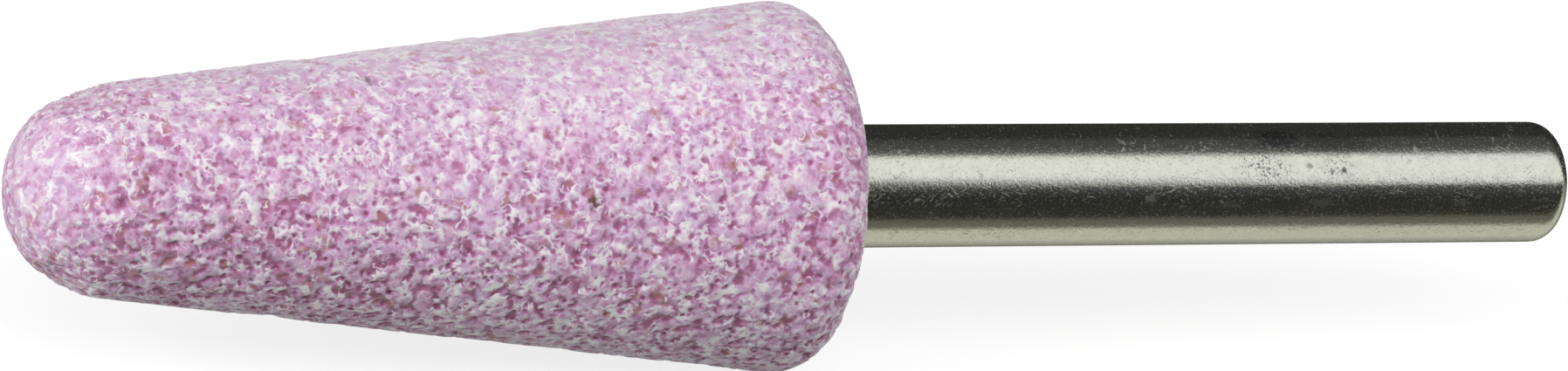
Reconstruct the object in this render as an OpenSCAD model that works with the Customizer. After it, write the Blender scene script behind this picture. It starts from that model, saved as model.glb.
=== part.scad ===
// Mounted point: a tapered, round-nosed grinding head cemented on a plain steel spindle.
// The spindle axis is X. The origin is the centre of the head's rear face: the nose points to -X,
// and the free shank that a collet grips runs along +X.

/* [Grinding head] */
// Largest diameter of the head, at its rear edge
head_d = 18; // [13:0.5:30]
// Length of the head from the tip of the nose to the rear face
head_l = 41; // [32:0.5:60]
// Radius of the round nose
nose_r = 5.1; // [4:0.1:8]
// Radius of the rounded rear edge
rim_r = 2.3; // [0.5:0.1:4]

/* [Spindle] */
// Diameter of the shank that the collet grips
shank_d = 6; // [4:0.1:8]
// Free length of the shank behind the head
shank_l = 40; // [20:1:60]
// Radius of the rounded edge at the free end of the shank
shank_end_r = 1.2; // [0.3:0.1:2.4]

/* [Cemented seat] */
// Length of the knurled stub inside the head
stub_l = 20; // [8:0.5:28]
// Number of teeth in the straight knurl of the stub
knurl_teeth = 24; // [12:1:36]
// Height that the rolled knurl stands above the shank
knurl_rise = 0.2; // [0.16:0.02:0.4]
// Depth that the rolled knurl sinks below the shank
knurl_sink = 0.2; // [0.1:0.02:0.4]
// Lead-in chamfer at the buried end of the stub
stub_chamfer = 0.6; // [0.3:0.1:1.2]
// Thickness of the cement around the knurl
cement_wall = 0.25; // [0.1:0.05:0.8]
// Thickness of the cement under the end of the stub
cement_floor = 1; // [0.3:0.1:3]

/* [Hidden] */
$fn = 96;

shank_r = shank_d / 2;
knurl_crest_r = shank_r + knurl_rise;
knurl_root_r = shank_r - knurl_sink;
bore_r = knurl_crest_r + cement_wall;
bore_depth = stub_l + cement_floor;

// Half section of the head, as [distance from the axis, place along the axis].
// The flank is the common tangent of the nose circle and the rim circle.
nose_centre = [0, nose_r - head_l];
rim_centre = [head_d / 2 - rim_r, -rim_r];
centre_step = rim_centre - nose_centre;
flank_angle = atan2(centre_step[0], centre_step[1]) - asin((nose_r - rim_r) / norm(centre_step));
flank_normal = [cos(flank_angle), -sin(flank_angle)];
nose_tangent = nose_centre + nose_r * flank_normal;
rim_tangent = rim_centre + rim_r * flank_normal;

// Turns a shape that is built along Z so that it lies along the spindle axis, X.
module along_spindle() {
    rotate([0, 90, 0]) children();
}

// Keeps the side of a half section that a full turn may sweep.
module swept_side(reach) {
    intersection() {
        children();
        translate([0, -reach]) square([reach, 2 * reach]);
    }
}

module head_half_section() {
    swept_side(head_l + head_d) {
        translate(nose_centre) circle(r = nose_r);
        translate(rim_centre) circle(r = rim_r);
        polygon([
            nose_centre, nose_tangent, rim_tangent, rim_centre,
            [rim_centre[0], 0], [0, 0]
        ]);
    }
}

// Blind hole that is moulded in the head and that the cement fills.
module seat_bore(overrun = 0) {
    translate([0, 0, -bore_depth]) cylinder(r = bore_r, h = bore_depth + overrun);
}

module shank_half_section() {
    square([shank_r, shank_l - shank_end_r]);
    square([shank_r - shank_end_r, shank_l]);
    swept_side(shank_l + shank_d)
        translate([shank_r - shank_end_r, shank_l - shank_end_r]) circle(r = shank_end_r);
}

// Outline of the straight knurl: a crest and a root for every tooth.
module knurl_outline() {
    half_pitch = 180 / knurl_teeth;
    polygon([
        for (step = [0 : 2 * knurl_teeth - 1])
            let (r = step % 2 == 0 ? knurl_crest_r : knurl_root_r)
                [r * cos(step * half_pitch), r * sin(step * half_pitch)]
    ]);
}

module knurled_stub() {
    intersection() {
        translate([0, 0, -stub_l]) linear_extrude(height = stub_l) knurl_outline();
        union() {
            translate([0, 0, -stub_l])
                cylinder(r1 = knurl_crest_r - stub_chamfer, r2 = knurl_crest_r, h = stub_chamfer);
            translate([0, 0, stub_chamfer - stub_l])
                cylinder(r = knurl_crest_r, h = stub_l - stub_chamfer);
        }
    }
}

module spindle_along_z() {
    rotate_extrude() shank_half_section();
    knurled_stub();
}

module grinding_head() {
    color("plum") along_spindle() difference() {
        rotate_extrude() head_half_section();
        seat_bore(overrun = rim_r);
    }
}

module spindle() {
    color("silver") along_spindle() spindle_along_z();
}

module bond_cement() {
    color("dimgray") along_spindle() difference() {
        seat_bore();
        spindle_along_z();
    }
}

grinding_head();
spindle();
bond_cement();
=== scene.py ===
"""Looks of a mounted point: a porous pink grinding stone cemented on a ground steel spindle.

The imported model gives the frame. The stone is a lathed mesh with real pores, the spindle and the cement keep
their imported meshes, and every surface gets a procedural finish. Lengths are in millimetres unless metres are
named, and meshes, lamps and the camera end up in metres. Turns around the axis are in degrees from the
front, -Y, towards the top, +Z. A pair of levels says where a pattern starts and where it is full.
"""

import logging
import math
from collections.abc import Mapping, Sequence
from dataclasses import dataclass, field
from enum import Enum
from functools import cache
from typing import Any, ClassVar

import bmesh
import bpy
from mathutils import Matrix, Vector


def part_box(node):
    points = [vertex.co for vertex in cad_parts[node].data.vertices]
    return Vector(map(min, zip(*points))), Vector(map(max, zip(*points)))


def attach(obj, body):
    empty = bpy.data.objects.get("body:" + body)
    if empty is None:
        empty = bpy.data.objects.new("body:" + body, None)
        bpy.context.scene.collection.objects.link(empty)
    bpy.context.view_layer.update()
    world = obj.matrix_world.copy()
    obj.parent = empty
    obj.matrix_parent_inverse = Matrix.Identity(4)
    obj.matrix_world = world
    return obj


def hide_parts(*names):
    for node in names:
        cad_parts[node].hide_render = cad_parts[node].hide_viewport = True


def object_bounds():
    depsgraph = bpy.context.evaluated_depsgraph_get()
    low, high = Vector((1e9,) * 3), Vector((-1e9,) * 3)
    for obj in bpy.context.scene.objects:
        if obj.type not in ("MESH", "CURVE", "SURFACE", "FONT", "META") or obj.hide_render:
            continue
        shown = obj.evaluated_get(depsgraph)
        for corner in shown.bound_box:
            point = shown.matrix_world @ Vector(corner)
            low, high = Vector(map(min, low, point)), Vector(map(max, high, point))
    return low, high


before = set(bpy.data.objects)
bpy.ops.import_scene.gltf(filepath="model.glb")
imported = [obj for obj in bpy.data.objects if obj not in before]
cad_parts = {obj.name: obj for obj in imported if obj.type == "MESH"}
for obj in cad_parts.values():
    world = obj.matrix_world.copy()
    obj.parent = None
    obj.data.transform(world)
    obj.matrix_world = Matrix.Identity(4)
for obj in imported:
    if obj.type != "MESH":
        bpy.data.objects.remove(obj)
CAD_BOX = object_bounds()

Colour = tuple[float, float, float]
Range = tuple[float, float]
Reach = tuple[float, float, float]
Stops = tuple[tuple[float, Colour], ...]
Node = bpy.types.Node
Socket = bpy.types.NodeSocket
Tree = bpy.types.NodeTree
Material = bpy.types.Material
Mesh = bmesh.types.BMesh
Point = bmesh.types.BMVert

LOG = logging.getLogger("mounted_point")
MM = 0.001
BODY = "root"
REST_POSITION = "rest_position"
AXIS = Vector((1.0, 0.0, 0.0))
ACROSS = Vector((0.0, 1.0, 0.0))
SHANK_R = 3.0
WHITE: Colour = (1.0, 1.0, 1.0)
NOISE_MIDDLE = 0.5
SPOT_FADE: Range = (1.0, 0.3)
SPOT_EDGE_SIZE = 0.25
MOTTLE_LEVELS: Range = (0.28, 0.72)


def rgba(colour: Colour) -> tuple[float, float, float, float]:
    """Gives a colour the alpha that node sockets expect."""
    return (*colour, 1.0)


def around(turn: float) -> Vector:
    """Gives the direction away from the axis at a turn in degrees."""
    return Vector((0.0, -math.cos(math.radians(turn)), math.sin(math.radians(turn))))


class TreeKind(Enum):
    """The two kinds of node tree that the relief of the stone is written into."""

    SHADER = "ShaderNodeTree"
    GEOMETRY = "GeometryNodeTree"


SEPARATE_COLOUR = {TreeKind.SHADER: "ShaderNodeSeparateColor", TreeKind.GEOMETRY: "FunctionNodeSeparateColor"}
PLACED_GROUP = {TreeKind.SHADER: "ShaderNodeGroup", TreeKind.GEOMETRY: "GeometryNodeGroup"}


class Gradient(Enum):
    """How a value is carried from one range to another."""

    LINEAR = "LINEAR"
    SMOOTH = "SMOOTHSTEP"


class NodePen:
    """Writes nodes into one shader or geometry tree. Its methods take constants or other nodes' sockets."""

    def __init__(self, tree: Tree) -> None:
        """Keeps the tree that the nodes go into."""
        self.tree = tree
        self.kind = TreeKind(tree.bl_idname)

    def add(self, kind: str, values: Mapping[Any, Any] | None = None, **settings: Any) -> Node:
        """Adds one node.

        Args:
            kind: Blender's name for the node type.
            values: What each input gets, by the input's name or number.
            **settings: Properties to set on the node before its inputs are filled.

        Returns:
            The new node.
        """
        node = self.tree.nodes.new(kind)
        for name, value in settings.items():
            setattr(node, name, value)
        for key, value in (values or {}).items():
            self.feed(node.inputs[key], value)
        return node

    def feed(self, socket: Socket, value: Any) -> None:
        """Links or sets one input.

        Args:
            socket: The input to fill.
            value: Another node's output, or a constant.
        """
        if isinstance(value, Socket):
            self.tree.links.new(value, socket)
        else:
            socket.default_value = value

    def maths(self, operation: str, *values: Any, clamp: bool = False) -> Socket:
        """Works out a Math operation, and may keep the result between 0 and 1."""
        node = self.add("ShaderNodeMath", dict(enumerate(values)), operation=operation, use_clamp=clamp)
        return node.outputs[0]

    def times(self, first: Any, second: Any) -> Socket:
        """Multiplies two values."""
        return self.maths("MULTIPLY", first, second)

    def most(self, first: Any, second: Any) -> Socket:
        """Gives the larger of two values."""
        return self.maths("MAXIMUM", first, second)

    def lessened(self, value: Any, mask: Any, share: Any = 1.0) -> Socket:
        """Takes a share of a value away where a mask is 1."""
        return self.times(value, self.maths("SUBTRACT", 1.0, self.times(mask, share)))

    def vector(self, operation: str, *values: Any, scale: Any = None) -> Socket:
        """Works out a Vector Math operation.

        Args:
            operation: The operation's name.
            *values: Its vector operands.
            scale: The factor of a SCALE operation.

        Returns:
            The result: a number for LENGTH, a vector otherwise.
        """
        inputs: dict[Any, Any] = dict(enumerate(values))
        if scale is not None:
            inputs["Scale"] = scale
        node = self.add("ShaderNodeVectorMath", inputs, operation=operation)
        return node.outputs["Value" if operation == "LENGTH" else "Vector"]

    def millimetres(self, position: Any) -> Socket:
        """Turns a position in metres into millimetres."""
        return self.vector("SCALE", position, scale=1.0 / MM)

    def shifted(self, at: Any, shift: float) -> Socket:
        """Moves a position by the same length along all three axes."""
        return self.vector("ADD", at, (shift, shift, shift))

    def spread(
        self,
        value: Any,
        low: Any,
        high: Any,
        to_low: Any = 0.0,
        to_high: Any = 1.0,
        how: Gradient = Gradient.SMOOTH,
    ) -> Socket:
        """Carries a value from one range, which may fall, to another and holds it at the ends."""
        inputs = {"Value": value, "From Min": low, "From Max": high, "To Min": to_low, "To Max": to_high}
        return self.add("ShaderNodeMapRange", inputs, interpolation_type=how.value).outputs["Result"]

    def between(self, share: Any, first: Any, second: Any) -> Socket:
        """Gives the value that lies a share of the way, from 0 to 1, between two others."""
        return self.spread(share, 0.0, 1.0, first, second, Gradient.LINEAR)

    def mix(self, share: Any, first: Any, second: Any) -> Socket:
        """Mixes two colours.

        Args:
            share: Share of the second colour.
            first: A colour or a colour socket.
            second: A colour or a colour socket.

        Returns:
            The mixed colour.
        """
        node = self.add("ShaderNodeMix", data_type="RGBA")
        sockets = {socket.identifier: socket for socket in node.inputs}
        self.feed(sockets["Factor_Float"], share)
        for name, colour in (("A_Color", first), ("B_Color", second)):
            self.feed(sockets[name], rgba(colour) if isinstance(colour, tuple) else colour)
        return next(socket for socket in node.outputs if socket.identifier == "Result_Color")

    def ramp(self, value: Any, stops: Stops) -> Socket:
        """Turns a value into a colour.

        Args:
            value: A value from 0 to 1.
            stops: Places and colours of the ramp, in order.

        Returns:
            The colour.
        """
        node = self.add("ShaderNodeValToRGB", {"Fac": value})
        elements = node.color_ramp.elements
        while len(elements) < len(stops):
            elements.new(1.0)
        for element, (place, colour) in zip(elements, stops):
            element.position = place
            element.color = rgba(colour)
        return node.outputs["Color"]

    def noise(self, at: Any, size: float, detail: float = 2.0, roughness: float = 0.5) -> Node:
        """Adds a noise texture with features of a size in millimetres and some finer layers."""
        inputs = {"Vector": at, "Scale": 1.0 / size, "Detail": detail, "Roughness": roughness}
        return self.add("ShaderNodeTexNoise", inputs, noise_dimensions="3D")

    def level(self, at: Any, size: float, detail: float = 2.0) -> Socket:
        """Gives the level of a noise texture, which is mostly between 0.3 and 0.7."""
        return self.noise(at, size, detail).outputs[0]

    def mottle(self, at: Any, size: float) -> Socket:
        """Gives a fine uneven tone from 0 to 1."""
        return self.placed(mottle_group(), {"Position": at, "Size": size}).outputs["Tone"]

    def cells(self, at: Any, spacing: float) -> Node:
        """Adds random points at a mean spacing. The distance from them is a share of the spacing."""
        inputs = {"Vector": at, "Scale": 1.0 / spacing, "Randomness": 1.0}
        return self.add("ShaderNodeTexVoronoi", inputs, voronoi_dimensions="3D", feature="F1")

    def split(self, colour: Socket) -> bpy.types.bpy_prop_collection:
        """Splits a colour into its three parts."""
        return self.add(SEPARATE_COLOUR[self.kind], {0: colour}).outputs

    def placed(self, tree: Tree, values: Mapping[str, Any]) -> Node:
        """Places a node group and fills its inputs."""
        return self.add(PLACED_GROUP[self.kind], values, node_tree=tree)

    def bump(self, height: Any, depth: float, strength: float = 1.0, invert: bool = False) -> Socket:
        """Turns a height, of which 1 stands for a depth in millimetres, into a normal."""
        values = {"Strength": strength, "Distance": depth * MM, "Height": height}
        return self.add("ShaderNodeBump", values, invert=invert).outputs[0]


def new_group(
    name: str, kind: TreeKind, takes: Mapping[str, str], gives: Sequence[str], result: str = "NodeSocketFloat"
) -> tuple[NodePen, Node, Node]:
    """Starts a node group with named sockets.

    Args:
        name: The group's name.
        kind: Shader or geometry.
        takes: Socket type of each input, by name.
        gives: Names of the outputs.
        result: Socket type of the outputs.

    Returns:
        The pen to write with, the group's input node and its output node.
    """
    tree = bpy.data.node_groups.new(name, kind.value)
    for label, socket in takes.items():
        tree.interface.new_socket(label, in_out="INPUT", socket_type=socket)
    for label in gives:
        tree.interface.new_socket(label, in_out="OUTPUT", socket_type=result)
    pen = NodePen(tree)
    return pen, pen.add("NodeGroupInput"), pen.add("NodeGroupOutput")


def new_material(name: str) -> tuple[Material, NodePen, Node]:
    """Starts an empty node material.

    Args:
        name: The material's name.

    Returns:
        The material, a pen for its tree and its output node.
    """
    material = bpy.data.materials.new(name)
    material.use_nodes = True
    material.node_tree.nodes.clear()
    pen = NodePen(material.node_tree)
    return material, pen, pen.add("ShaderNodeOutputMaterial")


@cache
def spot_group(kind: TreeKind) -> Tree:
    """Builds the group that masks one oval spot with a ragged edge, once for each kind of tree.

    Args:
        kind: The kind of tree that uses it.

    Returns:
        The group. It takes a position, the spot's centre and its reach along each axis in millimetres and how
        ragged its edge is, and gives 1 inside the spot and 0 outside.
    """
    takes = dict.fromkeys(("Position", "Centre", "Reach"), "NodeSocketVector") | {"Ragged": "NodeSocketFloat"}
    pen, taken, given = new_group(f"oval_spot_{kind.name.lower()}", kind, takes, ["Mask"])
    step = pen.vector("SUBTRACT", taken.outputs["Position"], taken.outputs["Centre"])
    away = pen.vector("LENGTH", pen.vector("DIVIDE", step, taken.outputs["Reach"]))
    edge = pen.level(taken.outputs["Position"], SPOT_EDGE_SIZE, detail=3.0)
    edge = pen.maths("SUBTRACT", edge, NOISE_MIDDLE)
    away = pen.maths("MULTIPLY_ADD", edge, taken.outputs["Ragged"], away)
    pen.feed(given.inputs["Mask"], pen.spread(away, *SPOT_FADE))
    return pen.tree


@cache
def mottle_group() -> Tree:
    """Builds the group for fine uneven tone, which all three finishes share.

    Returns:
        The group. It takes a position and the size of the mottle, and gives a tone from 0 to 1.
    """
    takes = {"Position": "NodeSocketVector", "Size": "NodeSocketFloat"}
    pen, taken, given = new_group("fine_mottle", TreeKind.SHADER, takes, ["Tone"])
    finer = pen.maths("DIVIDE", 1.0, taken.outputs["Size"])
    at = pen.vector("SCALE", taken.outputs["Position"], scale=finer)
    tone = pen.noise(at, 1.0, detail=4.0, roughness=0.6).outputs[0]
    pen.feed(given.inputs["Tone"], pen.spread(tone, *MOTTLE_LEVELS, how=Gradient.LINEAR))
    return pen.tree


@dataclass(frozen=True)
class Pores:
    """One size of round pore in the bond of the stone.

    Attributes:
        spacing: Mean distance between pores.
        radius: Smallest and largest radius, as a share of the spacing.
        depth: Smallest and largest depth.
        tint: How pink the shallowest and the deepest pore is, from 0 to 1.
        shift: Shift that keeps the pattern apart from others.
        rim: Share of the radius at which the floor of the pore starts.
    """

    spacing: float
    radius: Range
    depth: Range
    tint: Range
    shift: float
    rim: float = 0.25

    def lay(self, pen: NodePen, at: Any) -> tuple[Socket, Socket, Socket]:
        """Writes the pores into a tree.

        Args:
            pen: The tree's pen.
            at: The position.

        Returns:
            The depth, the tint and a chance from 0 to 1 that is the same all over one pore.
        """
        nearest = pen.cells(pen.shifted(at, self.shift), self.spacing)
        chance = pen.split(nearest.outputs["Color"])
        radius = pen.between(chance[0], *self.radius)
        pore = pen.spread(nearest.outputs["Distance"], radius, pen.times(radius, self.rim))
        depth = pen.times(pore, pen.between(chance[1], *self.depth))
        tint = pen.times(pore, pen.between(chance[1], *self.tint))
        return depth, tint, chance[2]


@dataclass(frozen=True)
class Pits:
    """One size of irregular pit between the grains of the stone.

    Attributes:
        size: Size of the pattern.
        rim: Level of the pattern at which a pit starts.
        floor: Level of the pattern at which its floor is reached.
        depth: Depth of the floor.
        tint: How pink the floor is, from 0 to 1.
        shift: Shift that keeps the pattern apart from others.
        lip: Width of the white lip of bond around a pit, as a step of the pattern's level.
    """

    size: float
    rim: float
    floor: float
    depth: float
    tint: float
    shift: float
    lip: float = 0.035

    def lay(self, pen: NodePen, at: Any) -> tuple[Socket, Socket, Socket]:
        """Writes the pits into a tree.

        Args:
            pen: The tree's pen.
            at: The position.

        Returns:
            The depth, the tint and the lip.
        """
        level = pen.level(pen.shifted(at, self.shift), self.size, detail=1.0)
        pit = pen.spread(level, self.rim, self.floor)
        beside = pen.maths("ABSOLUTE", pen.maths("SUBTRACT", level, self.rim + self.lip))
        lip = pen.spread(beside, self.lip, 0.0)
        return pen.times(pit, self.depth), pen.times(pit, self.tint), lip


@dataclass(frozen=True)
class Strands:
    """The white strands of bond that cross the pits, swell and run out.

    Attributes:
        size: Size of the pattern.
        width: How wide the strands are at their widest, as a step of the pattern's level.
        stretch: Size of the stretches over which they swell and run out.
        shift: Shift that keeps the pattern apart from others.
        swell: Levels of the stretches at which the strands are thinnest and widest.
        shown: Levels of the stretches at which they start to show and show fully.
        thinnest: How wide they are at their thinnest.
        edges: Where their soft edges start and end, as shares of their width.
    """

    size: float
    width: float
    stretch: float
    shift: float
    swell: Range = (0.42, 0.66)
    shown: Range = (0.42, 0.56)
    thinnest: float = 0.002
    edges: Range = (1.15, 0.05)

    def lay(self, pen: NodePen, at: Any) -> Socket:
        """Writes the strands into a tree.

        Args:
            pen: The tree's pen.
            at: The position.

        Returns:
            1 on a strand, 0 beside it.
        """
        level = pen.level(pen.shifted(at, self.shift), self.size, detail=1.0)
        beside = pen.maths("ABSOLUTE", pen.maths("SUBTRACT", level, NOISE_MIDDLE))
        stretch = pen.level(pen.shifted(at, -self.shift), self.stretch, detail=1.0)
        width = pen.spread(stretch, *self.swell, self.thinnest, self.width)
        strand = pen.spread(beside, *(pen.times(width, share) for share in self.edges))
        return pen.times(strand, pen.spread(stretch, *self.shown))


@dataclass(frozen=True)
class Tone:
    """A slow change of tone over the stone.

    Attributes:
        size: Size of the pattern.
        levels: Levels of the pattern at which the stone is pinkest and palest.
        tint: How much pinker it gets, from 0 to 1.
        detail: Number of finer layers.
    """

    size: float
    levels: Range
    tint: float
    detail: float


@dataclass(frozen=True)
class Spot:
    """One oval spot on a piece.

    Attributes:
        along: Place along the axis from the head's rear face.
        turn: Place around the axis.
        from_axis: Distance from the axis.
        reach: Reach along the axis, across the front and upwards.
        ragged: How ragged its edge is.
    """

    along: float
    turn: float
    from_axis: float
    reach: Reach
    ragged: ClassVar[float] = 1.6

    def mask(self, pen: NodePen, position: Any) -> Socket:
        """Masks the spot.

        Args:
            pen: The tree's pen.
            position: The position.

        Returns:
            1 inside the spot, 0 outside.
        """
        centre = self.along * AXIS + self.from_axis * around(self.turn)
        values = {"Position": position, "Centre": centre, "Reach": self.reach, "Ragged": self.ragged}
        return pen.placed(spot_group(pen.kind), values).outputs["Mask"]


@dataclass(frozen=True)
class Hollow(Spot):
    """One hollow that stands out in the stone: a large pore, a chip or a worn spot.

    Attributes:
        depth: Depth at its middle.
        tint: How much pinker it is than the stone around it.
    """

    depth: float
    tint: float = 0.0
    ragged: ClassVar[float] = 0.8


@dataclass(frozen=True)
class Mark(Spot):
    """One mark on a surface: a speck, a stain, a smudge, a worn patch, a rosy area, an area of dust and
    painted light, or an area of painted relief shade.

    Attributes:
        strength: How much of the mark shows.
    """

    strength: float = 1.0

    def mask(self, pen: NodePen, position: Any) -> Socket:
        """Masks the mark, up to its strength."""
        return pen.times(super().mask(pen, position), self.strength)


def on_shank(along: float, turn: float, reach: Reach, strength: float = 1.0) -> Mark:
    """Gives a mark on the skin of the shank."""
    return Mark(along, turn, SHANK_R, reach, strength)


def all_marks(pen: NodePen, position: Any, marks: Sequence[Mark]) -> Socket:
    """Joins the masks of several marks.

    Args:
        pen: The tree's pen.
        position: The position.
        marks: The marks.

    Returns:
        The mask of all of them.
    """
    joined = marks[0].mask(pen, position)
    for mark in marks[1:]:
        joined = pen.most(joined, mark.mask(pen, position))
    return joined


@dataclass(frozen=True)
class StoneRelief:
    """The pores, pits, grains and uneven outline of the stone, written alike into its mesh and its finish.

    A white web of bond, made of strands and of the lips of the grain pits, covers the pits but not the round
    pores. Grains fill part of the pits and pores. On the top and the nose, dust and painted light fill more of
    them and pale the stone there, standing in for the light that falls on them. Rosy areas are pinker, and the
    underside has painted relief shade: more contrast around a middle level, with darker pits and paler ridges.
    """

    shape_pits: tuple[Pits, Pits] = (
        Pits(size=4.0, rim=0.5, floor=0.25, depth=0.12, tint=0.0, shift=0.0),
        Pits(size=0.8, rim=0.52, floor=0.3, depth=0.08, tint=0.14, shift=31.3),
    )
    grain_pits: Pits = Pits(size=0.52, rim=0.52, floor=0.32, depth=0.13, tint=0.6, shift=3.1)
    fine_pits: Pits = Pits(size=0.24, rim=0.5, floor=0.32, depth=0.02, tint=0.03, shift=23.9)
    strands: tuple[Strands, ...] = (
        Strands(size=0.7, width=0.12, stretch=0.7, shift=7.7),
        Strands(size=0.52, width=0.1, stretch=0.6, shift=57.7),
    )
    pores: tuple[Pores, ...] = (
        Pores(spacing=0.5, radius=(0.16, 0.48), depth=(0.04, 0.16), tint=(0.1, 0.8), shift=17.3),
        Pores(spacing=0.64, radius=(0.18, 0.42), depth=(0.1, 0.2), tint=(0.5, 1.0), shift=41.9),
    )
    hollows: tuple[Hollow, ...] = (
        Hollow(-37.7, 114.0, 4.9, (2.3, 3.4, 2.4), depth=0.34),
        Hollow(-38.5, -52.0, 4.4, (1.8, 2.8, 2.8), depth=0.28),
        Hollow(-1.8, -37.0, 8.95, (0.5, 0.7, 0.5), depth=0.3),
        Hollow(-1.3, 81.0, 8.75, (0.5, 0.8, 0.5), depth=0.25),
        Hollow(-34.3, 0.0, 5.3, (0.5, 0.5, 0.35), depth=0.2, tint=0.6),
        Hollow(-36.9, 22.0, 5.0, (0.5, 0.5, 0.4), depth=0.2, tint=0.5),
    )
    tones: tuple[Tone, ...] = (
        Tone(size=0.45, levels=(0.35, 0.65), tint=0.14, detail=2.0),
        Tone(size=6.0, levels=(0.3, 0.7), tint=0.16, detail=0.0),
    )
    warp_size: float = 0.36
    warp_reach: float = 0.3
    grain_size: float = 0.62
    grain_levels: Range = (0.4, 0.62)
    grain_tint: Range = (0.25, 0.49)
    grain_fill: float = 0.25
    web_cover: float = 0.84
    web_lips: float = 0.65
    web_size: float = 0.8
    web_levels: Range = (0.38, 0.56)
    web_least: float = 0.25
    # Dust with painted light: pales the top and the nose and fills their pits, standing in for the light that
    # falls there.
    dust_and_painted_light: tuple[Mark, ...] = (
        Mark(-18.0, 98.0, 9.5, (38.0, 16.0, 9.5)),
        Mark(-41.0, 40.0, 3.0, (7.0, 7.0, 7.0), strength=0.9),
    )
    dust_and_painted_light_from: float = 0.45
    dust_and_painted_light_cover: float = 0.22
    dust_and_painted_light_fill: float = 0.66
    rosy: tuple[Mark, ...] = (Mark(-34.0, -15.0, 5.0, (19.0, 12.0, 9.0)),)
    rosy_tint: float = 0.17
    # Painted relief shade on the underside: darker pits and paler ridges, as grazing light would shade them.
    painted_relief_shade: tuple[Mark, ...] = (Mark(-18.0, -48.0, 9.5, (42.0, 14.0, 10.5)),)
    painted_relief_shade_contrast: float = 0.4
    painted_relief_shade_level: float = 0.52
    pink_top: float = 1.09
    pink_gain: float = 1.15

    def _ground(self, pen: NodePen, position: Any, grain: Any, dusty_and_lit: Any) -> Socket:
        """Gives how white the stone is without its pits, its web and its pores.

        Args:
            pen: The tree's pen.
            position: The position.
            grain: 1 in a grain, 0 between grains.
            dusty_and_lit: How much dust and painted light pale the stone.

        Returns:
            The whiteness, from 0 to 1.
        """
        white = pen.maths("SUBTRACT", 1.0, pen.between(grain, *self.grain_tint))
        for tone in self.tones:
            level = pen.level(position, tone.size, tone.detail)
            paler = pen.spread(level, *tone.levels, 1.0 - tone.tint, 1.0, Gradient.LINEAR)
            white = pen.times(white, paler)
        white = pen.lessened(white, all_marks(pen, position, self.rosy), self.rosy_tint)
        # Painted light with dust: the stone is paler where the top and the nose are lit.
        paled_by_dust_and_light = pen.spread(dusty_and_lit, self.dust_and_painted_light_from, 1.0, 0.0, self.dust_and_painted_light_cover)
        return pen.between(paled_by_dust_and_light, white, 1.0)

    def _web(self, pen: NodePen, position: Any, lips: Any) -> Socket:
        """Draws the white web of bond.

        Args:
            pen: The tree's pen.
            position: The position.
            lips: The lips of the grain pits.

        Returns:
            How much of the stone the web covers, from 0 to 1.
        """
        web = pen.times(lips, self.web_lips)
        for strands in self.strands:
            web = pen.most(web, strands.lay(pen, position))
        level = pen.level(position, self.web_size, detail=1.0)
        shown = pen.spread(level, *self.web_levels, self.web_least)
        return pen.times(pen.times(web, shown), self.web_cover)

    def group(self, kind: TreeKind) -> Tree:
        """Builds the relief as a node group.

        Args:
            kind: The kind of tree that uses it.

        Returns:
            The group. It takes a position and gives three depths: of the uneven outline with its hollows, of
            the pits and pores between the grains, and of the finest pits. It also gives how pink the surface
            is, and a chance from 0 to 1 that is the same all over one pore.
        """
        gives = ["Shape Depth", "Pit Depth", "Fine Depth", "Pink", "Chance"]
        name = f"stone_relief_{kind.name.lower()}"
        pen, taken, given = new_group(name, kind, {"Position": "NodeSocketVector"}, gives)
        position = taken.outputs["Position"]
        warp = pen.noise(position, self.warp_size).outputs["Color"]
        warp = pen.shifted(warp, -NOISE_MIDDLE)
        bent = pen.vector("ADD", position, pen.vector("SCALE", warp, scale=self.warp_reach))
        grain = pen.spread(pen.level(position, self.grain_size), *self.grain_levels)
        # Dust and painted light on the top and the nose.
        dusty_and_lit = all_marks(pen, position, self.dust_and_painted_light)
        left_open = pen.lessened(pen.lessened(1.0, grain, self.grain_fill), dusty_and_lit, self.dust_and_painted_light_fill)
        shapes = [pits.lay(pen, position) for pits in self.shape_pits]
        grain_depth, grain_tint, lips = self.grain_pits.lay(pen, position)
        fine_depth, fine_tint, _ = self.fine_pits.lay(pen, position)
        holes = [pores.lay(pen, bent) for pores in self.pores]
        white = self._ground(pen, position, grain, dusty_and_lit)
        for tint in (*(layer[1] for layer in shapes), grain_tint, fine_tint):
            white = pen.lessened(white, tint, left_open)
        web = self._web(pen, position, lips)
        white = pen.between(web, white, 1.0)
        pit = pen.lessened(grain_depth, web)
        for depth, tint, _ in holes:
            white = pen.lessened(white, tint, left_open)
            pit = pen.most(pit, depth)
        shape = pen.maths("ADD", shapes[0][0], shapes[1][0])
        for hollow in self.hollows:
            mask = hollow.mask(pen, bent)
            shape = pen.maths("MULTIPLY_ADD", mask, hollow.depth, shape)
            if hollow.tint:
                white = pen.lessened(white, mask, hollow.tint)
        pit = pen.times(pit, left_open)
        fine = pen.times(fine_depth, left_open)
        # Painted relief shade: on the underside, pinkness is stretched around a middle level, darkening pits
        # and paling ridges.
        pink = pen.maths("MULTIPLY_ADD", white, -self.pink_gain, self.pink_top - self.painted_relief_shade_level)
        painted_relief_shade = all_marks(pen, position, self.painted_relief_shade)
        contrast = pen.maths("MULTIPLY_ADD", painted_relief_shade, self.painted_relief_shade_contrast, 1.0)
        pink = pen.maths("MULTIPLY_ADD", pink, contrast, self.painted_relief_shade_level, clamp=True)
        for label, value in zip(gives, (shape, pit, fine, pink, holes[0][2])):
            pen.feed(given.inputs[label], value)
        return pen.tree


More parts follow.
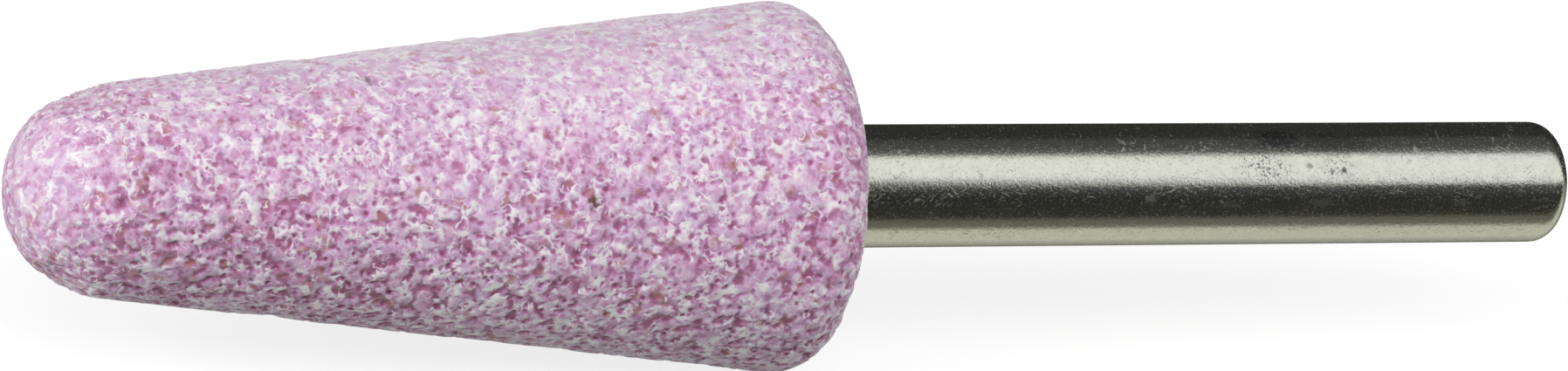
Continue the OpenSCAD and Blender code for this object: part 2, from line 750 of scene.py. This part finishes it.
@dataclass(frozen=True)
class Finish:
    """The finish of a piece, drawn by shader nodes."""

    name: ClassVar[str]

    def _place(self, pen: NodePen) -> Socket:
        """Gives the position on the piece in millimetres."""
        return pen.millimetres(pen.add("ShaderNodeTexCoord").outputs["Object"])

    def _surface(self, pen: NodePen) -> dict[str, Any]:
        """Draws the finish and gives what the inputs of its shader get."""
        raise NotImplementedError

    def material(self) -> Material:
        """Builds the finish.

        Returns:
            The material.
        """
        material, pen, output = new_material(self.name)
        surface = pen.add("ShaderNodeBsdfPrincipled", self._surface(pen))
        pen.feed(output.inputs["Surface"], surface.outputs[0])
        return material


@dataclass(frozen=True)
class StoneFinish(Finish):
    """Pink fired aluminium oxide: white bond, lilac and rosy grains, deep pink pores and a few dark specks.

    The pairs of levels, chances and pinkness say where the patches of lilac and rose, and the few pores of a
    peach colour, start to show and show fully.
    """

    name: ClassVar[str] = "pink_abrasive"
    relief: StoneRelief = StoneRelief()
    shades: Stops = (
        (0.0, (0.93, 0.92, 0.93)),
        (0.25, (0.845, 0.7, 0.82)),
        (0.5, (0.71, 0.43, 0.655)),
        (0.75, (0.5, 0.19, 0.36)),
        (1.0, (0.33, 0.075, 0.165)),
    )
    mottle_size: float = 0.12
    mottle_share: float = 0.03
    patch_size: float = 1.4
    patch_levels: Range = (0.42, 0.7)
    patch_pink: Range = (0.05, 0.35)
    patch_tints: tuple[Colour, ...] = ((0.945, 0.975, 1.02), (1.01, 0.895, 0.98))
    peach: Colour = (0.5, 0.22, 0.14)
    peach_share: float = 0.45
    peach_chance: Range = (0.9, 0.96)
    peach_pink: Range = (0.2, 0.5)
    speck_colour: Colour = (0.11, 0.035, 0.02)
    specks: tuple[Mark, ...] = (
        Mark(-14.3, 25.0, 7.6, (0.34, 0.6, 0.5)),
        Mark(-24.3, 82.6, 6.45, (0.22, 0.5, 0.3), strength=0.7),
        Mark(-15.6, -4.6, 7.5, (0.25, 0.4, 0.3), strength=0.5),
    )
    roughness: float = 0.7
    refraction: float = 1.76
    bump_strength: float = 0.4
    sheen: float = 0.6
    sheen_roughness: float = 0.5

    def _place(self, pen: NodePen) -> Socket:
        """Gives the position on the smooth stone, before its pores were pressed, in millimetres."""
        rest = pen.add("ShaderNodeAttribute", attribute_name=REST_POSITION)
        return pen.millimetres(rest.outputs["Vector"])

    def _surface(self, pen: NodePen) -> dict[str, Any]:
        """Draws the finish.

        Args:
            pen: The tree's pen.

        Returns:
            What the inputs of the shader get.
        """
        position = self._place(pen)
        pores = pen.placed(self.relief.group(TreeKind.SHADER), {"Position": position}).outputs
        uneven = pen.maths("SUBTRACT", pen.mottle(position, self.mottle_size), NOISE_MIDDLE)
        pink = pen.maths("MULTIPLY_ADD", uneven, self.mottle_share, pores["Pink"], clamp=True)
        colour = pen.ramp(pink, self.shades)
        patches = pen.noise(position, self.patch_size, detail=3.0, roughness=0.6).outputs["Color"]
        tinted = pen.spread(pink, *self.patch_pink)
        for patch, tint in zip(pen.split(patches), self.patch_tints):
            share = pen.times(pen.spread(patch, *self.patch_levels), tinted)
            colour = pen.vector("MULTIPLY", colour, pen.mix(share, WHITE, tint))
        warm = pen.times(pen.spread(pores["Chance"], *self.peach_chance), self.peach_share)
        warm = pen.times(warm, pen.spread(pink, *self.peach_pink))
        colour = pen.mix(warm, colour, self.peach)
        colour = pen.mix(all_marks(pen, position, self.specks), colour, self.speck_colour)
        depth = pen.maths("ADD", pores["Pit Depth"], pores["Fine Depth"])
        return {
            "Base Color": colour,
            "Roughness": self.roughness,
            "IOR": self.refraction,
            "Sheen Weight": self.sheen,
            "Sheen Roughness": self.sheen_roughness,
            "Normal": pen.bump(depth, 1.0, self.bump_strength, invert=True),
        }


@dataclass(frozen=True)
class SteelFinish(Finish):
    """Ground steel: an uneven skin, flecks, short scratches, smudges, worn patches, specks and a stain."""

    name: ClassVar[str] = "ground_steel"
    colour: Colour = (0.74, 0.745, 0.66)
    dull_colour: Colour = (0.66, 0.665, 0.59)
    stain_colour: Colour = (0.2, 0.21, 0.26)
    speck_colour: Colour = (0.07, 0.065, 0.06)
    roughness: Range = (0.1, 0.19)
    mottle_size: float = 0.45
    skin_size: float = 0.15
    skin_depth: float = 0.004
    scuff_roughness: float = 0.55
    scuff_turns: Range = (35.0, -20.0)
    scuff_size: float = 0.5
    scuff_stretch: Reach = (1.0, 1.0, 6.0)
    scuff_levels: Range = (0.65, 0.71)
    scuff_area: float = 2.0
    scuff_area_levels: Range = (0.46, 0.6)
    fleck_size: float = 0.11
    fleck_levels: Range = (0.5, 0.9)
    fleck_share: float = 0.75
    smudges: tuple[Mark, ...] = (
        on_shank(16.8, 16.0, (0.5, 0.4, 0.3), strength=0.6),
        on_shank(26.1, 10.5, (0.9, 0.4, 0.4), strength=0.5),
        on_shank(21.2, 8.5, (0.9, 0.4, 0.2), strength=0.5),
        on_shank(33.8, 9.5, (0.6, 0.4, 0.3), strength=0.5),
        on_shank(32.1, 7.9, (0.15, 0.2, 0.15), strength=0.7),
        on_shank(31.4, 62.3, (0.15, 0.4, 0.4), strength=0.7),
        on_shank(28.6, -5.7, (0.2, 0.3, 0.15), strength=0.6),
    )
    worn: tuple[Mark, ...] = (
        on_shank(23.0, 46.7, (1.8, 1.0, 0.9)),
        on_shank(27.0, 46.0, (1.4, 0.8, 0.7), strength=0.6),
    )
    worn_levels: Range = (0.5, 0.7)
    worn_share: float = 0.7
    stains: tuple[Mark, ...] = (
        on_shank(24.0, 76.0, (1.6, 1.0, 0.5), strength=0.7),
        on_shank(27.0, 70.0, (3.0, 1.0, 0.6), strength=0.4),
    )
    specks: tuple[Mark, ...] = (
        on_shank(27.3, 42.0, (0.22, 0.2, 0.2), strength=0.8),
        on_shank(25.4, 46.5, (0.3, 0.2, 0.2), strength=0.5),
        on_shank(26.6, 40.0, (0.14, 0.2, 0.2), strength=0.6),
    )

    def _scuffs(self, pen: NodePen, position: Any) -> Socket:
        """Draws short thin scratches that lie two ways over the shank.

        Args:
            pen: The tree's pen.
            position: The position.

        Returns:
            The mask of the scratches.
        """
        lines = []
        for turn in self.scuff_turns:
            turned = {"Vector": position, "Rotation": (0.0, math.radians(turn), 0.0)}
            drawn = pen.add("ShaderNodeMapping", turned).outputs[0]
            drawn = pen.vector("MULTIPLY", drawn, self.scuff_stretch)
            lines.append(pen.spread(pen.level(drawn, self.scuff_size, detail=1.0), *self.scuff_levels))
        area = pen.spread(pen.level(position, self.scuff_area, detail=1.0), *self.scuff_area_levels)
        return pen.times(pen.most(*lines), area)

    def _surface(self, pen: NodePen) -> dict[str, Any]:
        """Draws the finish.

        Args:
            pen: The tree's pen.

        Returns:
            What the inputs of the shader get.
        """
        position = self._place(pen)
        mottle = pen.mottle(position, self.mottle_size)
        fleck = pen.mottle(position, self.fleck_size)
        flecks = pen.times(pen.spread(fleck, *self.fleck_levels), self.fleck_share)
        scuffs = pen.most(self._scuffs(pen, position), all_marks(pen, position, self.smudges))
        worn = pen.times(all_marks(pen, position, self.worn), pen.spread(fleck, *self.worn_levels))
        worn = pen.times(worn, self.worn_share)
        specks = pen.most(all_marks(pen, position, self.specks), worn)
        colour = pen.mix(mottle, self.colour, self.dull_colour)
        colour = pen.mix(all_marks(pen, position, self.stains), colour, self.stain_colour)
        colour = pen.mix(specks, colour, self.speck_colour)
        rough = pen.most(pen.most(scuffs, flecks), specks)
        ground = pen.between(mottle, *self.roughness)
        return {
            "Base Color": colour,
            "Metallic": 1.0,
            "Roughness": pen.spread(rough, 0.0, 1.0, ground, self.scuff_roughness),
            "Normal": pen.bump(pen.mottle(position, self.skin_size), self.skin_depth),
        }


@dataclass(frozen=True)
class CementFinish(Finish):
    """Dull set cement around the spindle."""

    name: ClassVar[str] = "set_cement"
    colour: Colour = (0.52, 0.5, 0.47)
    dark_colour: Colour = (0.34, 0.32, 0.3)
    roughness: float = 0.9
    grain_size: float = 0.15
    grain_depth: float = 0.04

    def _surface(self, pen: NodePen) -> dict[str, Any]:
        """Draws the finish.

        Args:
            pen: The tree's pen.

        Returns:
            What the inputs of the shader get.
        """
        grain = pen.mottle(self._place(pen), self.grain_size)
        return {
            "Base Color": pen.mix(grain, self.dark_colour, self.colour),
            "Roughness": self.roughness,
            "Normal": pen.bump(grain, self.grain_depth),
        }


@dataclass
class GrindingHead:
    """The porous stone: a round nose, a tapered flank, a rounded rear edge and a blind bore.

    The pores start and are full at the distances skin_beside from the bore and skin_ahead from its floor.
    """

    node: str = "grinding_head"
    slot: str = "abrasive"
    nose_r: float = 5.1
    rim_r: float = 2.3
    bore_r: float = 3.45
    bore_depth: float = 21.0
    turns: int = 320
    step: float = 0.165
    merge: float = 0.001
    skin_beside: Range = (0.05, 0.35)
    skin_ahead: Range = (1.0, 2.0)
    finish: StoneFinish = field(default_factory=StoneFinish)

    def __post_init__(self) -> None:
        """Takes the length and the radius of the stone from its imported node."""
        low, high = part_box(self.node)
        self.length = (high.x - low.x) / MM
        self.radius = high.z / MM

    def _profile(self, mesh: Mesh) -> None:
        """Draws half the section of the stone, from the tip of the nose to the floor of the bore.

        Args:
            mesh: The empty mesh to draw in.
        """
        nose = Vector((self.nose_r - self.length, 0.0, 0.0))
        rim = Vector((-self.rim_r, 0.0, self.radius - self.rim_r))
        between = rim - nose
        taper = math.atan2(between.z, between.x) - math.asin((self.nose_r - self.rim_r) / between.length)
        normal = Vector((-math.sin(taper), 0.0, math.cos(taper)))
        end = mesh.verts.new(Vector((-self.length, 0.0, 0.0)))
        end = self._arc(mesh, end, nose, math.pi / 2 - taper)
        end = self._run(mesh, end, rim + self.rim_r * normal)
        end = self._arc(mesh, end, rim, math.pi / 2 + taper)
        end = self._run(mesh, end, Vector((0.0, 0.0, self.bore_r)))
        end = self._run(mesh, end, Vector((-self.bore_depth, 0.0, self.bore_r)), steps=1)
        self._run(mesh, end, Vector((-self.bore_depth, 0.0, 0.0)), steps=1)

    def _arc(self, mesh: Mesh, start: Point, centre: Vector, angle: float) -> Point:
        """Draws an arc of the section around a centre, through an angle, and gives its last point."""
        steps = max(2, round((start.co - centre).length * angle / self.step))
        return self._swept(mesh, start, cent=centre, axis=ACROSS, angle=angle, steps=steps)

    def _run(self, mesh: Mesh, start: Point, end: Vector, steps: int = 0) -> Point:
        """Draws a straight run of the section.

        Args:
            mesh: The mesh to draw in.
            start: The point that the run starts at.
            end: Where it ends.
            steps: Number of its edges, or 0 for edges of the usual length.

        Returns:
            The point at its end.
        """
        whole = end - start.co
        steps = steps or max(1, round(whole.length / self.step))
        return self._swept(mesh, start, axis=AXIS, dvec=whole / steps, angle=0.0, steps=steps)

    @staticmethod
    def _swept(mesh: Mesh, start: Point, **sweep: Any) -> Point:
        """Sweeps a point with the spin operator, and gives the last point that it makes."""
        made = bmesh.ops.spin(mesh, geom=[start], **sweep)["geom_last"]
        return next(part for part in made if isinstance(part, Point))

    def build(self) -> bpy.types.Object:
        """Lathes the stone and presses the pores into it.

        Returns:
            The stone.
        """
        mesh = bmesh.new()
        self._profile(mesh)
        section = mesh.verts[:] + mesh.edges[:]
        bmesh.ops.spin(mesh, geom=section, axis=AXIS, angle=math.pi / 2, steps=self.turns // 4)
        for axis in ("Y", "Z"):
            half = mesh.verts[:] + mesh.edges[:] + mesh.faces[:]
            bmesh.ops.mirror(mesh, geom=half, axis=axis, merge_dist=self.merge)
        bmesh.ops.remove_doubles(mesh, verts=mesh.verts[:], dist=self.merge)
        bmesh.ops.scale(mesh, vec=(MM, MM, MM), verts=mesh.verts[:])
        bmesh.ops.recalc_face_normals(mesh, faces=mesh.faces[:])
        for face in mesh.faces:
            face.smooth = True
        data = bpy.data.meshes.new("grinding_head_stone")
        mesh.to_mesh(data)
        mesh.free()
        stone = bpy.data.objects.new("grinding_head_stone", data)
        bpy.context.scene.collection.objects.link(stone)
        self._press_pores(stone)
        return stone

    def _outer_skin(self, pen: NodePen, at: Any) -> Socket:
        """Masks the skin of the stone, which has pores, from its bore, which fits the cement.

        Args:
            pen: The tree's pen.
            at: The position.

        Returns:
            1 on the skin, 0 in the bore.
        """
        from_axis = pen.vector("LENGTH", pen.vector("MULTIPLY", at, (0.0, 1.0, 1.0)))
        outside = pen.spread(from_axis, *(self.bore_r + beside for beside in self.skin_beside))
        along = pen.add("ShaderNodeSeparateXYZ", {0: at}).outputs[0]
        before = pen.spread(along, *(-self.bore_depth - ahead for ahead in self.skin_ahead))
        return pen.most(outside, before)

    def _press_pores(self, stone: bpy.types.Object) -> None:
        """Moves the skin of the stone in by the depth of its relief, and keeps where each point was.

        Args:
            stone: The smooth stone.
        """
        shape = "NodeSocketGeometry"
        pen, taken, given = new_group("press_pores", TreeKind.GEOMETRY, {"Stone": shape}, ["Stone"], shape)
        position = pen.add("GeometryNodeInputPosition").outputs[0]
        rest = {"Geometry": taken.outputs[0], "Name": REST_POSITION, "Value": position}
        kept = pen.add("GeometryNodeStoreNamedAttribute", rest, data_type="FLOAT_VECTOR", domain="POINT")
        at = pen.millimetres(position)
        pores = pen.placed(self.finish.relief.group(TreeKind.GEOMETRY), {"Position": at}).outputs
        depth = pen.maths("ADD", pores["Shape Depth"], pores["Pit Depth"])
        depth = pen.times(depth, self._outer_skin(pen, at))
        normal = pen.add("GeometryNodeInputNormal").outputs[0]
        inward = pen.vector("SCALE", normal, scale=pen.times(depth, -MM))
        moved = pen.add("GeometryNodeSetPosition", {"Geometry": kept.outputs[0], "Offset": inward})
        pen.feed(given.inputs[0], moved.outputs[0])
        stone.modifiers.new("press_pores", "NODES").node_group = pen.tree
        depsgraph = bpy.context.evaluated_depsgraph_get()
        pressed = bpy.data.meshes.new_from_object(stone.evaluated_get(depsgraph), depsgraph=depsgraph)
        stone.modifiers.clear()
        stone.data = pressed

    def dress(self, stone: bpy.types.Object) -> None:
        """Gives the stone its finish and its place in the frame.

        Args:
            stone: The stone.
        """
        stone.data.materials.clear()
        stone.data.materials.append(self.finish.material())
        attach(stone, BODY)
        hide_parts(self.node)


@dataclass
class PackedPiece:
    """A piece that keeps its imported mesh."""

    node: str
    finish: Finish

    def dress(self) -> bpy.types.Object:
        """Gives the piece its finish.

        Returns:
            The piece.
        """
        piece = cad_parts[self.node]
        piece.data.materials.clear()
        piece.data.materials.append(self.finish.material())
        return piece


@dataclass
class Spindle(PackedPiece):
    """The turned steel pin with its rounded free end and its knurled stub inside the stone."""

    node: str = "spindle"
    finish: Finish = field(default_factory=SteelFinish)


@dataclass
class BondCement(PackedPiece):
    """The cement that fills the bore of the stone around the stub."""

    node: str = "bond_cement"
    finish: Finish = field(default_factory=CementFinish)


@dataclass(frozen=True)
class PhotoCamera:
    """The camera at the viewing angle of the photograph.

    Attributes:
        image_w: Width of the photograph, in pixels.
        image_h: Height of the photograph, in pixels.
        sensor: Width of the sensor.
        swing: Turn of the camera towards the nose, in degrees.
        rise: Height of the camera above the spindle's level, in degrees.
        roll: Roll of the camera, in degrees.
        distance: Distance from the origin.
        scale: Pixels per millimetre at the origin.
        origin_x: Pixel column of the origin.
        origin_y: Pixel row of the origin.
        clip: Nearest and farthest distance that it sees, in metres.
    """

    image_w: int = 1796
    image_h: int = 425
    sensor: float = 36.0
    swing: float = 22.69
    rise: float = 30.0
    roll: float = -0.3626
    distance: float = 491.0
    scale: float = 23.6212
    origin_x: float = 928.91
    origin_y: float = 213.45
    clip: Range = (0.01, 20.0)

    def place(self) -> None:
        """Adds the camera and makes it the scene's."""
        swing, roll = math.radians(self.swing), math.radians(self.roll)
        side = around(self.rise)
        toward = -math.sin(swing) * AXIS + math.cos(swing) * side
        level_right = math.cos(swing) * AXIS + math.sin(swing) * side
        level_up = around(self.rise + 90.0)
        right = math.cos(roll) * level_right + math.sin(roll) * level_up
        up = math.cos(roll) * level_up - math.sin(roll) * level_right
        across = (self.origin_x - self.image_w / 2) / self.scale
        down = (self.origin_y - self.image_h / 2) / self.scale
        data = bpy.data.cameras.new("photo_camera")
        data.sensor_width = self.sensor
        data.lens = self.scale * self.distance * self.sensor / self.image_w
        data.clip_start, data.clip_end = self.clip
        camera = bpy.data.objects.new("photo_camera", data)
        turned = Matrix((right, up, toward)).transposed().to_4x4()
        turned.translation = (self.distance * toward - across * right + down * up) * MM
        camera.matrix_world = turned
        bpy.context.scene.collection.objects.link(camera)
        bpy.context.scene.camera = camera


@dataclass(frozen=True)
class Card:
    """A card that only reflections see, bent round the spindle axis.

    Attributes:
        name: Its name.
        start: Turn at which it starts.
        end: Turn at which it ends.
        shade: Brightness of the card.
        skew: Turn by which it hangs higher in front of the head than in front of the free end.
    """

    name: str
    start: float
    end: float
    shade: float
    skew: float = 0.0


@dataclass(frozen=True)
class Strip:
    """A strip on the floor that only reflections see.

    Attributes:
        name: Its name.
        near: Distance of one edge in front of the spindle axis.
        far: Distance of the other edge.
        colour: Colour of the strip.
    """

    name: str
    near: float
    far: float
    colour: Colour


@dataclass(frozen=True)
class Softbox:
    """A softbox that faces the object.

    Attributes:
        name: Its name.
        power: Its power, in watts.
        turn: Its turn around the spindle axis.
        lean: Its lean towards the nose, in degrees.
        size: Its length along the object and its width, in metres.
        distance: Its distance, in metres.
    """

    name: str
    power: float
    turn: float
    lean: float
    size: Range
    distance: float = 0.6

    def hang(self) -> None:
        """Adds the lamp, which reflections don't see."""
        lean = math.radians(self.lean)
        data = bpy.data.lights.new(self.name, "AREA")
        data.shape = "RECTANGLE"
        data.size, data.size_y = self.size
        data.energy = self.power
        lamp = bpy.data.objects.new(self.name, data)
        lamp.location = self.distance * (math.cos(lean) * around(self.turn) - math.sin(lean) * AXIS)
        lamp.rotation_mode = "QUATERNION"
        lamp.rotation_quaternion = lamp.location.to_track_quat("Z", "Y")
        lamp.visible_camera = False
        lamp.visible_glossy = False
        bpy.context.scene.collection.objects.link(lamp)


@dataclass
class Studio:
    """Floor, lamps, world and the cards and strips that the steel mirrors.

    Attributes:
        floor_z: Height of the floor, in metres.
        floor_size: Half the width of the floor, in metres.
        floor_colour: Brightness of the floor as a surface.
        floor_glow: Brightness that is added where the floor is seen.
        ambient: Brightness of the room.
        card_distance: Distance of the cards from the axis, in metres.
        card_ends: Where the cards and strips start and end along the axis, in metres.
        skew_ends: Where a skewed card starts and ends to come down, in metres.
    """

    floor_z: float
    floor_size: float = 6.0
    floor_colour: float = 0.34
    floor_glow: float = 0.8
    ambient: float = 0.135
    softboxes: tuple[Softbox, ...] = (
        Softbox("key_softbox", power=3.98, turn=58.0, lean=6.0, size=(2.0, 0.4)),
        Softbox("nose_softbox", power=3.0, turn=60.0, lean=75.0, size=(0.5, 0.5)),
        Softbox("rear_softbox", power=1.1, turn=45.0, lean=-65.0, size=(0.5, 0.5)),
    )
    cards: tuple[Card, ...] = (
        Card("front_card", -12.0, 12.0, 0.026, skew=14.0),
        Card("front_edge_card", 12.0, 34.3, 0.055, skew=14.0),
        Card("top_near_card", 86.0, 99.0, 0.12),
        Card("top_middle_card", 99.0, 125.0, 0.072),
        Card("top_far_card", 125.0, 181.0, 0.032),
    )
    card_distance: float = 0.3
    card_ends: Range = (-0.6, 3.0)
    card_steps: int = 24
    skew_ends: Range = (0.125, 0.165)
    # The edge and shade strips, just under and behind the spindle, are a painted shadow of the object on the
    # floor as the steel mirrors it, and the pale strip is dimmed in part by that painted shadow.
    strips: tuple[Strip, ...] = (
        Strip("dark_strip", 14.5, 310.0, (0.035, 0.035, 0.03)),
        Strip("olive_strip", 7.6, 14.5, (0.15, 0.15, 0.125)),
        Strip("pale_strip", 0.8, 7.6, (0.62, 0.615, 0.535)),
        Strip("edge_strip", -2.0, 0.8, (0.42, 0.42, 0.37)),
        Strip("shade_strip", -14.0, -2.0, (0.2, 0.2, 0.175)),
        Strip("back_strip", -1500.0, -14.0, (0.035, 0.035, 0.03)),
    )
    strip_lift: float = 0.05

    @staticmethod
    def _card_material(name: str, colour: Colour) -> Material:
        """Builds a card of one colour.

        Args:
            name: The material's name.
            colour: Its colour.

        Returns:
            The material.
        """
        material, pen, output = new_material(name)
        glow = pen.add("ShaderNodeEmission", {"Color": rgba(colour), "Strength": 1.0})
        pen.feed(output.inputs["Surface"], glow.outputs[0])
        return material

    @staticmethod
    def _seen(pen: NodePen) -> Socket:
        """Finds what is looked at.

        Args:
            pen: The tree's pen.

        Returns:
            1 for what the camera, a reflection or glass sees, 0 for what lights the object.
        """
        path = pen.add("ShaderNodeLightPath").outputs
        mirrored = pen.most(path["Is Glossy Ray"], path["Is Transmission Ray"])
        return pen.most(path["Is Camera Ray"], mirrored)

    @staticmethod
    def _stage(mesh: Mesh, name: str, material: Material) -> bpy.types.Object:
        """Turns a mesh into a part of the stage.

        Args:
            mesh: The mesh, which is used up.
            name: Its name.
            material: Its material.

        Returns:
            The new object.
        """
        data = bpy.data.meshes.new(name)
        mesh.to_mesh(data)
        mesh.free()
        data.materials.append(material)
        part = bpy.data.objects.new(name, data)
        bpy.context.scene.collection.objects.link(part)
        return part

    def _mirrored_sheet(self, name: str, colour: Colour, line: Sequence[Vector], **sweep: Any) -> None:
        """Sweeps a line into a sheet that only reflections see.

        Args:
            name: Name of the sheet.
            colour: Its colour.
            line: The points of the line.
            **sweep: How the spin operator sweeps the line.
        """
        mesh = bmesh.new()
        points = [mesh.verts.new(place) for place in line]
        edges = [mesh.edges.new(ends) for ends in zip(points, points[1:])]
        bmesh.ops.spin(mesh, geom=[*points, *edges], axis=AXIS, **sweep)
        sheet = self._stage(mesh, name, self._card_material(name, colour))
        for rays in ("camera", "diffuse", "shadow", "transmission", "volume_scatter"):
            setattr(sheet, f"visible_{rays}", False)

    def hang_cards(self) -> None:
        """Adds the cards around the spindle and the strips on the floor."""
        for card in self.cards:
            bend = -math.radians(card.end - card.start)
            high = self.card_distance * around(card.start + card.skew / 2)
            low = self.card_distance * around(card.start - card.skew / 2)
            line = [high + self.card_ends[0] * AXIS, high + self.skew_ends[0] * AXIS]
            line += [low + self.skew_ends[1] * AXIS, low + self.card_ends[1] * AXIS]
            self._mirrored_sheet(card.name, (card.shade,) * 3, line, angle=bend, steps=self.card_steps)
        for strip in self.strips:
            start = Vector((0.0, -strip.near * MM, self.floor_z + self.strip_lift * MM))
            line = [start + along * AXIS for along in self.card_ends]
            reach = Vector((0.0, (strip.near - strip.far) * MM, 0.0))
            self._mirrored_sheet(strip.name, strip.colour, line, dvec=reach, angle=0.0, steps=1)

    def lay_floor(self) -> None:
        """Adds the pale floor, which looks white and keeps the object's shadow."""
        material, pen, output = new_material("pale_floor")
        matt = pen.add("ShaderNodeBsdfDiffuse", {"Color": rgba((self.floor_colour,) * 3)})
        strength = pen.times(self._seen(pen), self.floor_glow)
        glow = pen.add("ShaderNodeEmission", {"Color": rgba(WHITE), "Strength": strength})
        both = pen.add("ShaderNodeAddShader", {0: matt.outputs[0], 1: glow.outputs[0]})
        pen.feed(output.inputs["Surface"], both.outputs[0])
        mesh = bmesh.new()
        bmesh.ops.create_grid(mesh, x_segments=1, y_segments=1, size=self.floor_size)
        bmesh.ops.translate(mesh, vec=(0.0, 0.0, self.floor_z), verts=mesh.verts[:])
        self._stage(mesh, "floor", material)

    def fill_room(self) -> None:
        """Sets a world that lights softly and looks white."""
        world = bpy.data.worlds.new("white_room")
        bpy.context.scene.world = world
        world.use_nodes = True
        world.node_tree.nodes.clear()
        pen = NodePen(world.node_tree)
        strength = pen.between(self._seen(pen), self.ambient, 1.0)
        back = pen.add("ShaderNodeBackground", {"Color": rgba(WHITE), "Strength": strength})
        pen.feed(pen.add("ShaderNodeOutputWorld").inputs["Surface"], back.outputs[0])

    def build(self) -> None:
        """Builds the studio."""
        bpy.context.scene.view_settings.view_transform = "Standard"
        self.lay_floor()
        self.fill_room()
        for softbox in self.softboxes:
            softbox.hang()
        self.hang_cards()


def main() -> None:
    """Builds the pieces, the camera and the studio."""
    logging.basicConfig(level=logging.INFO, format="%(name)s: %(message)s")
    head = GrindingHead()
    stone = head.build()
    head.dress(stone)
    LOG.info("%s: %d faces", stone.name, len(stone.data.polygons))
    for packed in (Spindle(), BondCement()):
        LOG.info("%s: packed mesh dressed", packed.dress().name)
    PhotoCamera().place()
    Studio(floor_z=CAD_BOX[0].z).build()
    LOG.info("camera and studio are up")


if __name__ == "__main__":
    main()
